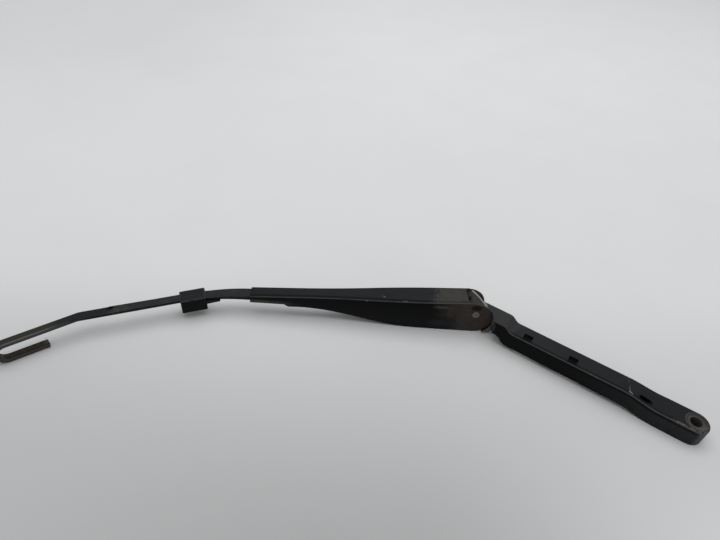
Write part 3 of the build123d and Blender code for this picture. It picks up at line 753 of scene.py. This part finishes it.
def channel_lobes(paint, look):
    """Brown worn lobes, with a painted bluish sheen and a scuff on the wall before them and grease above the
    pin.
    """
    brown = paint.both(
        paint.over(paint.along, none=-0.2060, full=-0.1780),
        paint.over(paint.z, none=0.010, full=0.020),
        paint.walls)
    lobe = paint.both(paint.over(paint.along, none=-0.1860, full=-0.1740), paint.walls)
    worn = paint.either(lobe, paint.faint(brown, 0.8))
    paint.coat(worn, tinted(look.rust, 1.9), rough=0.55)
    bright = paint.patchy(worn, scale=360, low=0.35, high=0.75, detail=6)
    paint.coat(paint.faint(bright, 0.9), look.bare_and_painted_light, rough=0.5)
    # Painted light: the far lobe's inner face, which lies in shade, is lightened.
    inner = paint.both(
        paint.over(paint.y, none=HINGE.y + 0.007, full=HINGE.y + 0.009),
        paint.over(paint.facing_y, none=-0.4, full=-0.8),
        paint.over(paint.x, none=-0.182, full=-0.174))
    paint.coat(inner, tinted(look.bare_and_painted_light, 1.6), rough=0.55)
    # Painted sheen: a bluish painted reflection low on the wall.
    painted_sheen = paint.both(
        paint.within(paint.ragged(paint.x, amount=0.010, scale=120), -0.207, -0.180, soft=0.008),
        paint.within(paint.ragged(paint.z, amount=0.006, scale=160), 0.005, 0.012, soft=0.004),
        paint.walls)
    paint.coat(paint.faint(painted_sheen, 0.6), look.painted_sheen, rough=0.45)
    scuff = paint.both(
        paint.within(paint.ragged(paint.x, amount=0.010, scale=260), -0.205, -0.190, soft=0.004),
        paint.within(paint.ragged(paint.z, amount=0.003, scale=400), 0.0277, 0.0306, soft=0.0014),
        paint.walls)
    paint.coat(paint.faint(scuff, 0.9), tinted(look.bare_and_painted_light, 1.1), rough=0.5)
    above_pin = HINGE + Vector((-0.0006, -0.0109, 0.0080))
    smear = paint.near(above_pin, inner=0.0022, outer=0.0044, weights=(0.65, 0.2, 1.0))
    paint.coat(paint.patchy(smear, scale=700, low=0.1, high=0.4), look.grease_and_painted_shade, rough=0.4)


def channel_finish(look):
    """Satin paint of the folded channel, rubbed through and rusty round the hinge."""
    paint = ChannelPaint(look)
    channel_film(paint, look)
    channel_wear(paint, look)
    channel_lobes(paint, look)
    strokes = paint.either(*[paint.stroke(*chip) for chip in CHANNEL_CHIPS])
    chips = paint.patchy(strokes, scale=800, low=0.38, high=0.58, detail=4)
    paint.coat(chips, tinted(look.scrape, 0.4), rough=0.45)
    cuts = paint.patchy(paint.edges(0.0004), scale=300, low=0.4, high=0.62, detail=5)
    paint.coat(cuts, tinted(look.bare_and_painted_light, 1.1), rough=0.45)
    peel = paint.noise(scale=1200, detail=2)
    waves = paint.noise(scale=160)
    return paint.done([(peel, 0.05 * MM), (waves, 0.15 * MM)], edge=0.3 * MM)


def rod_hook(paint, look, up, worn_x):
    """Browner strip past the kink, with pale sides (worn metal and a painted reflection) and a bare margin
    (worn metal and a painted highlight), a rusty return leg and a rubbed tip.
    """
    past_kink = paint.over(worn_x, none=-0.522, full=-0.548)
    paint.coat(paint.both(past_kink, up), look.rod_far, rough=0.6)
    # Pale sides past the kink: worn metal, and a painted reflection of the floor.
    sides = paint.over(paint.facing_z, none=0.4, full=0.1)
    paint.coat(paint.both(paint.over(worn_x, none=-0.505, full=-0.535), sides), look.rod_sides, rough=0.5)
    # Light margin along the hook's edge: worn metal, and a painted highlight.
    from_hook = paint.ahead((-0.5661, 0.0348, 0.0), Vector((0.5962, -0.8028, 0.0)))
    margin = paint.both(
        past_kink,
        paint.within(from_hook, 0.0024, 0.0046, soft=0.0004),
        paint.over(paint.facing_z, none=0.2, full=0.4))
    paint.coat(margin, tinted(look.bare_and_painted_light, 1.7), rough=0.45)
    leg = paint.both(
        paint.over(paint.z, none=0.0095, full=0.006), paint.over(paint.x, none=-0.52, full=-0.53))
    paint.coat(paint.both(leg, up), tinted(look.rust, 1.5), rough=0.65)
    rusty = paint.patchy(leg, scale=260, low=0.45, high=0.7, detail=6)
    paint.coat(rusty, look.hook_rust, rough=0.75)
    # Pale sides of the leg: worn metal, and a painted reflection of the floor.
    paint.coat(paint.both(leg, paint.outside(up)), tinted(look.bare_and_painted_light, 1.05), rough=0.5)
    tip = paint.near((-0.5421, 0.0526, 0.0020), inner=0.0020, outer=0.0052)
    rubbed_and_highlight = paint.patchy(tip, scale=400, low=0.2, high=0.6, detail=4)
    paint.coat(rubbed_and_highlight, look.hook_tip, rough=0.55)


def rod_finish(look):
    """Thin paint of the strip, browner past the kink and rusty on the hook."""
    paint = Finish("rod_paint", look.rod, 0.5, gloss=0.1)
    up = paint.over(paint.facing_z, none=0.75, full=0.97)
    paint.coat(paint.spots(scale=70, low=0.35, high=0.75, detail=4), tinted(look.rod, 1.3), rough=0.6)
    film = paint.patchy(up, scale=180, low=0.05, high=0.65, detail=6)
    paint.coat(film, tinted(look.dust_and_painted_light, 1.1), rough=0.7)
    drawn = paint.spots(scale=900, low=0.5, high=0.75, stretch=(0.12, 0.5, 1))
    paint.coat(paint.both(drawn, up), tinted(look.dust_and_painted_light, 1.35), rough=0.6)
    # Painted highlight: a light line along the strip's rounded edges, in the dust colour.
    brow = paint.within(paint.facing_z, 0.2, 0.88, soft=0.08)
    rubbed_and_highlight = paint.patchy(brow, scale=130, low=0.2, high=0.6, detail=6)
    paint.coat(rubbed_and_highlight, tinted(look.dust_and_painted_light, 1.6), rough=0.5)
    worn_x = paint.ragged(paint.x, amount=0.03, scale=40)
    dull = paint.both(paint.within(worn_x, -0.537, -0.494, soft=0.006), up)
    paint.coat(dull, tinted(look.dust_and_painted_light, 0.58), rough=0.65)
    rod_hook(paint, look, up, worn_x)
    by_clip = paint.near((-0.488, 0.081, 0.0208), inner=0.003, outer=0.014)
    scuffs = paint.patchy(by_clip, scale=500, low=0.50, high=0.63, detail=5, stretch=(0.3, 1, 1))
    paint.coat(scuffs, tinted(look.bare_and_painted_light, 0.95), rough=0.5)
    peel = paint.noise(scale=1300, detail=2)
    return paint.done([(peel, 0.05 * MM), (drawn, 0.03 * MM)], edge=0.3 * MM)


def clip_finish(look):
    """Matte moulded plastic with a fine spark-eroded grain."""
    plastic = Finish("clip_plastic", look.plastic, 0.62, gloss=0.08)
    clouds = plastic.spots(scale=90, low=0.35, high=0.75, detail=4)
    plastic.coat(clouds, tinted(look.plastic, 1.3), rough=0.68)
    up = plastic.over(plastic.facing_z, none=0.8, full=0.97)
    top = plastic.over(plastic.z, none=0.0185, full=0.0215)
    film = plastic.patchy(plastic.both(up, top), scale=260, low=-0.2, high=0.65, detail=6)
    plastic.coat(film, tinted(look.dust_and_painted_light, 0.9), rough=0.78)
    # Painted highlight: a light line along the brow between the top and the sides, together with rubbed
    # edges.
    brow = plastic.both(plastic.within(plastic.facing_z, 0.3, 0.85, soft=0.1), top)
    edges = plastic.either(brow, plastic.edges(0.0010))
    rubbed_and_highlight = plastic.patchy(edges, scale=500, low=0.25, high=0.6, detail=4)
    plastic.coat(rubbed_and_highlight, tinted(look.dust_and_painted_light, 2.4), rough=0.55)
    grain = plastic.noise(scale=2600, detail=2)
    ripple = plastic.noise(scale=420)
    return plastic.done([(grain, 0.05 * MM), (ripple, 0.06 * MM)], edge=0.4 * MM)


def pin_finish(look):
    """Worn riveted steel, brown with old grease."""
    steel = Finish("pin_steel", look.steel, 0.42, metal=0.35, gloss=0.4)
    steel.coat(steel.spots(scale=500, low=0.4, high=0.7, detail=5), look.rust, rough=0.55)
    bright = steel.spots(scale=900, low=0.6, high=0.75, detail=4)
    steel.coat(bright, tinted(look.steel, 1.5), rough=0.35, metal=0.6)
    rim = steel.patchy(steel.edges(0.0005), scale=700, low=0.3, high=0.6)
    steel.coat(rim, tinted(look.steel, 1.7), rough=0.32)
    past_shank = steel.over(steel.distance(HINGE, ROUND_PIN), none=0.0031, full=0.0035)
    greasy = steel.patchy(past_shank, scale=600, low=0.45, high=0.6, detail=4)
    steel.coat(greasy, look.grease_and_painted_shade, rough=0.4)
    hammered = steel.noise(scale=900, detail=4)
    return steel.done([(hammered, 0.08 * MM)], edge=0.3 * MM)


def spring_finish(look):
    """Dull drawn wire with grease held between the turns."""
    steel = Finish("spring_steel", look.spring, 0.4, metal=0.7, gloss=0.5)
    steel.coat(steel.spots(scale=400, low=0.4, high=0.7, detail=5), tinted(look.spring, 0.55), rough=0.5)
    steel.coat(steel.spots(scale=120, low=0.5, high=0.68, detail=6), look.rust, rough=0.65, metal=0.1)
    below = steel.over(steel.facing_z, none=0.2, full=-0.6)
    film = steel.patchy(below, scale=260, low=0.3, high=0.6, detail=4)
    steel.coat(film, look.grease_and_painted_shade, rough=0.35, metal=0.0)
    return steel.done([(steel.noise(scale=2200), 0.04 * MM)])


def floor_finish(stage):
    """Pale matte sheet with painted shade for the fall of light: greyer towards the viewer and at the far
    left.
    """
    sheet = Finish("floor_sheet", stage.floor, 0.85, gloss=0.2)
    far_left = sheet.both(
        sheet.over(sheet.y, none=0.25, full=0.8), sheet.over(sheet.x, none=-0.2, full=-0.75))
    near = sheet.both(sheet.over(sheet.y, none=0.18, full=-0.17), sheet.over(sheet.y, none=-0.55, full=-0.17))
    # Painted shade for the fall of light across the floor; the last entry is faint mottling.
    shades = (
        (sheet.over(sheet.y, none=0.9, full=0.0), 0.92),
        (far_left, 0.90),
        (near, 0.515),
        (sheet.both(near, sheet.over(sheet.x, none=-0.24, full=0.02)), 0.90),
        (sheet.both(near, sheet.over(sheet.x, none=-0.28, full=-0.66)), 0.70),
        (sheet.faint(sheet.spots(scale=9, low=0.3, high=0.8), 0.06), 0.6),
    )
    for mask, factor in shades:
        sheet.coat(mask, tinted(stage.floor, factor))
    return sheet.done([(sheet.noise(scale=700), 0.03 * MM)])


def dress(node, material):
    """Gives a CAD node one finish in place of what it came with."""
    piece = frame["nodes"][node]
    piece.data.materials.clear()
    piece.data.materials.append(material)
    return piece


def break_edges(piece, edges):
    """Rounds the sharp edges of a piece by modifiers, so that its mesh stays as it is."""
    weld = piece.modifiers.new("joined_faces", "WELD")
    weld.merge_threshold = edges.weld
    bevel = piece.modifiers.new("broken_edges", "BEVEL")
    bevel.width = edges.rod
    bevel.segments = 2
    bevel.limit_method = "ANGLE"
    bevel.angle_limit = edges.sharp
    bevel.use_clamp_overlap = False
    bevel.harden_normals = True


def spring_route(sizes):
    """Points of the wire, from its hook in the link to its hook in the rod, with the coil between them."""
    spring_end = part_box("tension_spring")[0][0]
    rod_hole = Vector((spring_end + ROD_HOLE_INSET, ANCHOR.y, ANCHOR.z + ROD_HOLE_RISE))
    span = (rod_hole - ANCHOR).length
    ahead = (rod_hole - ANCHOR).normalized()
    across = Vector((0, 1, 0))
    above = across.cross(ahead)
    if above.z < 0:
        above.negate()

    def at(along, height, aside):
        return ANCHOR + along * ahead + height * above + aside * across

    neck = NECK_SHARE * sizes.coil
    route = [
        at(sizes.link_bear, 0, -sizes.hook_past),
        at(sizes.link_bear, 0, 0),
        at(sizes.link_bear + HOOK_NECK, 0, neck),
    ]
    steps = CORNERS_PER_TURN * sizes.turns + CORNERS_PER_TURN // 4
    run = span - sizes.hook_step - sizes.start
    for step in range(steps + 1):
        angle = 2 * pi * step / CORNERS_PER_TURN
        along = sizes.start + run * step / steps
        route.append(at(along, sizes.coil * sin(angle), sizes.coil * cos(angle)))
    rod_bear = span - HOOK_BEAR
    route += [
        at(rod_bear - HOOK_NECK, neck, 0),
        at(rod_bear, 0, 0),
        at(rod_bear, -sizes.hook_past, 0),
    ]
    return route


def wire_mesh(name, route, radius):
    """A round wire along a smooth curve, as a mesh."""
    curve = bpy.data.curves.new(name, "CURVE")
    curve.dimensions = "3D"
    curve.bevel_depth = radius
    curve.bevel_resolution = 3
    curve.use_fill_caps = True
    curve.resolution_u = 3
    spline = curve.splines.new("NURBS")
    spline.points.add(len(route) - 1)
    for point, place in zip(spline.points, route):
        point.co = (*place, 1.0)
    spline.order_u = 3
    spline.use_endpoint_u = True
    holder = bpy.data.objects.new(name, curve)
    bpy.context.scene.collection.objects.link(holder)
    bpy.context.view_layer.update()
    wire = holder.evaluated_get(bpy.context.evaluated_depsgraph_get())
    mesh = bpy.data.meshes.new_from_object(wire)
    bpy.data.objects.remove(holder)
    bpy.data.curves.remove(curve)
    mesh.name = name
    return mesh


class WIPER_ARM_OT_head(bpy.types.Operator):
    """Dress the cranked head in worn satin paint"""

    bl_idname = "wiper_arm.head"
    bl_label = "Head"

    def execute(self, context):
        dress("arm_head", head_finish(context.scene.wiper_arm.finishes))
        return {"FINISHED"}


class WIPER_ARM_OT_channel(bpy.types.Operator):
    """Dress the folded channel in paint that is rubbed through at the hinge"""

    bl_idname = "wiper_arm.channel"
    bl_label = "Channel"

    def execute(self, context):
        dress("retainer", channel_finish(context.scene.wiper_arm.finishes))
        return {"FINISHED"}


class WIPER_ARM_OT_rod(bpy.types.Operator):
    """Round the strip's edges and dress it in thin rusty paint"""

    bl_idname = "wiper_arm.rod"
    bl_label = "Rod"

    def execute(self, context):
        settings = context.scene.wiper_arm
        piece = dress("wiper_rod", rod_finish(settings.finishes))
        break_edges(piece, settings.edges)
        return {"FINISHED"}


class WIPER_ARM_OT_clip(bpy.types.Operator):
    """Dress the clip as matte moulded plastic"""

    bl_idname = "wiper_arm.clip"
    bl_label = "Clip"

    def execute(self, context):
        dress("rod_clip", clip_finish(context.scene.wiper_arm.finishes))
        return {"FINISHED"}


class WIPER_ARM_OT_pins(bpy.types.Operator):
    """Dress the hinge pin and the anchor pin as worn steel"""

    bl_idname = "wiper_arm.pins"
    bl_label = "Pins"

    def execute(self, context):
        steel = pin_finish(context.scene.wiper_arm.finishes)
        for node in ("hinge_pin", "anchor_pin"):
            dress(node, steel)
        return {"FINISHED"}


class WIPER_ARM_OT_spring(bpy.types.Operator):
    """Wind the tension spring from round wire and dress it and its link"""

    bl_idname = "wiper_arm.spring"
    bl_label = "Spring"

    def execute(self, context):
        settings = context.scene.wiper_arm
        steel = spring_finish(settings.finishes)
        dress("spring_link", steel)
        mesh = wire_mesh("spring_coil", spring_route(settings.spring), settings.spring.wire)
        mesh.materials.append(steel)
        mesh.shade_smooth()
        coil = bpy.data.objects.new("spring_coil", mesh)
        context.scene.collection.objects.link(coil)
        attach(coil, "spring")
        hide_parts("tension_spring")
        return {"FINISHED"}


class WIPER_ARM_OT_stage(bpy.types.Operator):
    """Lay the pale floor and set the soft light and the camera"""

    bl_idname = "wiper_arm.stage"
    bl_label = "Stage"

    def execute(self, context):
        stage = context.scene.wiper_arm.stage
        self.lay_floor(context, stage)
        self.light_sky(context, stage)
        self.hang_lamp(context, stage)
        self.set_camera(context, stage)
        context.scene.view_settings.view_transform = "Standard"
        return {"FINISHED"}

    def lay_floor(self, context, stage):
        """A flat sheet under the arm."""
        far = stage.reach
        corners = [(-far, -far, 0), (far, -far, 0), (far, far, 0), (-far, far, 0)]
        mesh = bpy.data.meshes.new("floor")
        mesh.from_pydata(corners, [], [(0, 1, 2, 3)])
        mesh.materials.append(floor_finish(stage))
        floor = bpy.data.objects.new("floor", mesh)
        context.scene.collection.objects.link(floor)

    def light_sky(self, context, stage):
        """Even light from all round, and a pale backdrop where it is seen, mirrored or seen through."""
        world = bpy.data.worlds.new("studio")
        context.scene.world = world
        world.use_nodes = True
        tree = world.node_tree
        path = tree.nodes.new("ShaderNodeLightPath")
        seen = path.outputs["Is Camera Ray"]
        for ray in ("Is Glossy Ray", "Is Transmission Ray"):
            either = tree.nodes.new("ShaderNodeMath")
            either.operation = "MAXIMUM"
            tree.links.new(seen, either.inputs[0])
            tree.links.new(path.outputs[ray], either.inputs[1])
            seen = either.outputs[0]
        level = tree.nodes.new("ShaderNodeMapRange")
        tree.links.new(seen, level.inputs["Value"])
        level.inputs["To Min"].default_value = stage.sky
        level.inputs["To Max"].default_value = stage.backdrop
        background = tree.nodes["Background"]
        tree.links.new(level.outputs[0], background.inputs["Strength"])
        background.inputs["Color"].default_value = (*stage.sky_tint, 1.0)

    def hang_lamp(self, context, stage):
        """One wide soft box, facing straight down."""
        lamp = bpy.data.lights.new("soft_box", "AREA")
        lamp.shape = "RECTANGLE"
        lamp.size = stage.lamp_width
        lamp.size_y = stage.lamp_depth
        lamp.energy = stage.lamp
        box = bpy.data.objects.new("soft_box", lamp)
        box.location = stage.lamp_place
        context.scene.collection.objects.link(box)

    def set_camera(self, context, stage):
        """A camera that looks down on the arm from its near side."""
        data = bpy.data.cameras.new("camera")
        data.sensor_fit = "HORIZONTAL"
        data.sensor_width = 36.0
        data.lens = stage.lens
        data.clip_start = 0.01
        axes = Matrix((CAMERA_RIGHT, CAMERA_UP, CAMERA_RIGHT.cross(CAMERA_UP)))
        camera = bpy.data.objects.new("camera", data)
        camera.rotation_mode = "QUATERNION"
        camera.rotation_quaternion = axes.transposed().to_quaternion()
        camera.location = stage.eye
        context.scene.collection.objects.link(camera)
        context.scene.camera = camera


OPERATORS = (
    WIPER_ARM_OT_head,
    WIPER_ARM_OT_channel,
    WIPER_ARM_OT_rod,
    WIPER_ARM_OT_clip,
    WIPER_ARM_OT_pins,
    WIPER_ARM_OT_spring,
    WIPER_ARM_OT_stage,
)


class WIPER_ARM_PT_panel(bpy.types.Panel):
    """Lists the pieces of the wiper arm and their settings"""

    bl_idname = "WIPER_ARM_PT_panel"
    bl_label = "Wiper Arm"
    bl_space_type = "VIEW_3D"
    bl_region_type = "UI"
    bl_category = "Wiper Arm"

    def draw(self, context):
        settings = context.scene.wiper_arm
        for operator in OPERATORS:
            self.layout.operator(operator.bl_idname)
        for group in (settings.finishes, settings.edges, settings.spring, settings.stage):
            box = self.layout.box()
            for name in group.bl_rna.properties.keys():
                if name not in {"rna_type", "name"}:
                    box.prop(group, name)


CLASSES = (
    WiperFinishes,
    WiperEdges,
    WiperSpring,
    WiperStage,
    WiperArmSettings,
    *OPERATORS,
    WIPER_ARM_PT_panel,
)


def register():
    for item in CLASSES:
        bpy.utils.register_class(item)
    bpy.types.Scene.wiper_arm = PointerProperty(type=WiperArmSettings)


def unregister():
    del bpy.types.Scene.wiper_arm
    for item in reversed(CLASSES):
        bpy.utils.unregister_class(item)


def main():
    register()
    bpy.ops.wiper_arm.head()
    bpy.ops.wiper_arm.channel()
    bpy.ops.wiper_arm.rod()
    bpy.ops.wiper_arm.clip()
    bpy.ops.wiper_arm.pins()
    bpy.ops.wiper_arm.spring()
    bpy.ops.wiper_arm.stage()


if __name__ == "__main__":
    main()
